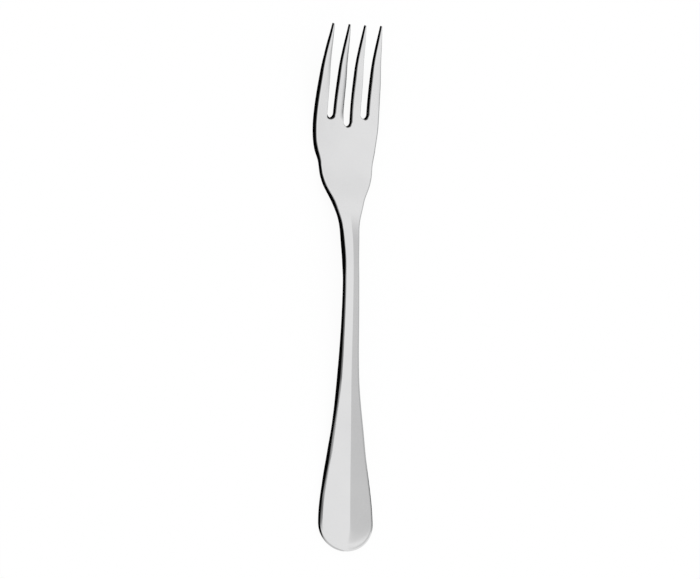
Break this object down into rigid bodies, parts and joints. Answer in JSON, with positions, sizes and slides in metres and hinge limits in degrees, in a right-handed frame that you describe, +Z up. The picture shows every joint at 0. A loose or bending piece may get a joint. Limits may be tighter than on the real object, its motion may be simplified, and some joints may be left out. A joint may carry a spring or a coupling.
{
  "type": "fish fork",
  "caption": "One-piece polished steel fish fork with a ridged, round-ended handle, a slim arched neck and a broad flat head with tapering tines.",
  "frame": {"origin": "on the table plane that the fork lies on, under the middle of its length and width", "axes": "+Y along the fork towards the tips of the tines, +Z up out of the front face, +X to the right"},
  "size_m": [0.0242, 0.18, 0.0111],
  "materials": {
    "polished_steel": "mirror-polished stainless steel"
  },
  "bodies": {
    "root": {"fork": "polished_steel"}
  },
  "joints": []
}
